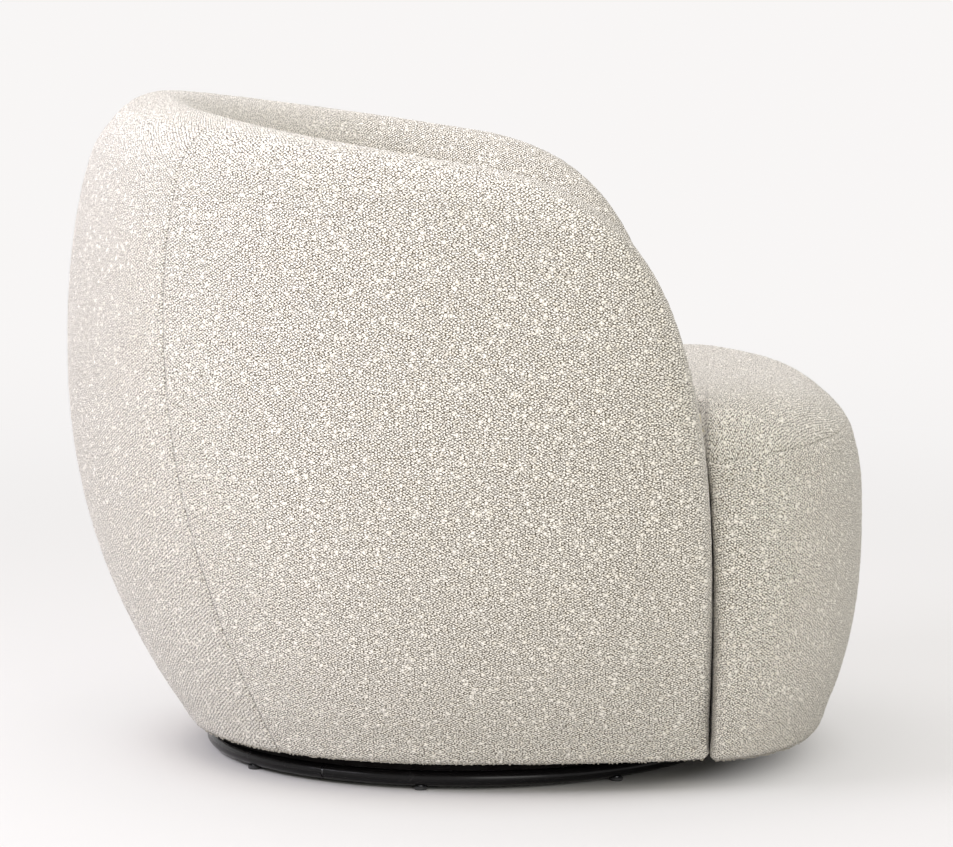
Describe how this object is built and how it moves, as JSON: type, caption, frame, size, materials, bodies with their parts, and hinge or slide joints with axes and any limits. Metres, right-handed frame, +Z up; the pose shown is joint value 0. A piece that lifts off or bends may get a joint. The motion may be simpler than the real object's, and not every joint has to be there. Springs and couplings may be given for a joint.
{
  "type": "swivel lounge chair",
  "caption": "Low round tub lounge chair upholstered in looped-yarn cloth, with a crowned fixed seat and a nose in front of the arms, turning freely on a steel ring base.",
  "frame": {"origin": "on the floor, on the swivel axis, under the middle of the chair", "axes": "+Z up, the chair faces -Y, +X towards the sitter's left arm"},
  "size_m": [0.85, 0.8536, 0.71],
  "materials": {
    "boucle": "ivory looped-yarn cloth, small pale knots over a warm grey ground",
    "foam": "open-cell foam",
    "felt": "pressed felt pad",
    "dust_cloth": "thin black non-woven cloth",
    "plywood": "birch plywood, unfinished",
    "black_board": "plywood stained black",
    "hardwood": "sawn hardwood, unfinished",
    "black_steel": "black powder coat, satin",
    "dark_steel": "blackened steel",
    "spring_steel": "oil-tempered spring wire",
    "ball_steel": "polished bearing steel",
    "zinc": "bright zinc plate",
    "glide_plastic": "hard black plastic",
    "cage_plastic": "greased nylon"
  },
  "bodies": {
    "base": {"ring_half_left": "black_steel", "ring_half_right": "black_steel", "ring_spigots": "zinc", "cross_bar_long": "black_steel", "cross_bars_short": "black_steel", "lower_plate": "zinc", "lower_plate_bolts": "dark_steel", "king_pin": "zinc", "king_nut": "zinc", "glides": "glide_plastic", "glide_studs": "zinc"},
    "cage": {"ball_cage": "cage_plastic", "bearing_balls": "ball_steel"},
    "chair": {"upper_plate": "zinc", "upper_plate_bolts": "dark_steel", "tee_nuts": "zinc", "bottom_board": "plywood", "dust_cover": "dust_cloth", "plinth_hoop": "black_board", "back_ribs": "plywood", "arm_ribs": "plywood", "crest_rail": "plywood", "arm_post_left": "plywood", "arm_post_right": "plywood", "side_rails": "hardwood", "back_rail": "hardwood", "front_panel": "plywood", "nose_shelves": "plywood", "corner_blocks": "hardwood", "seat_springs": "spring_steel", "spring_clips": "zinc", "spring_pad": "felt", "seat_foam": "foam", "nose_foam": "foam", "back_foam": "foam", "arm_foam_left": "foam", "arm_foam_right": "foam", "back_wrap_foam": "foam", "side_wrap_foam_left": "foam", "side_wrap_foam_right": "foam", "inside_cover": "boucle", "outer_back_cover": "boucle", "outer_left_cover": "boucle", "outer_right_cover": "boucle", "seat_cover": "boucle", "front_band": "boucle"}
  },
  "joints": [
    {"name": "chair_swivel", "type": "hinge", "parent": "base", "child": "chair", "pos_m": [0, 0, 0.03], "axis": [0, 0, 1], "continuous": true},
    {"name": "cage_turn", "type": "hinge", "parent": "base", "child": "cage", "pos_m": [0, 0, 0.03], "axis": [0, 0, 1], "continuous": true}
  ],
  "couplings": [
    {"joint": "cage_turn", "follows": "chair_swivel", "ratio": 0.5}
  ]
}
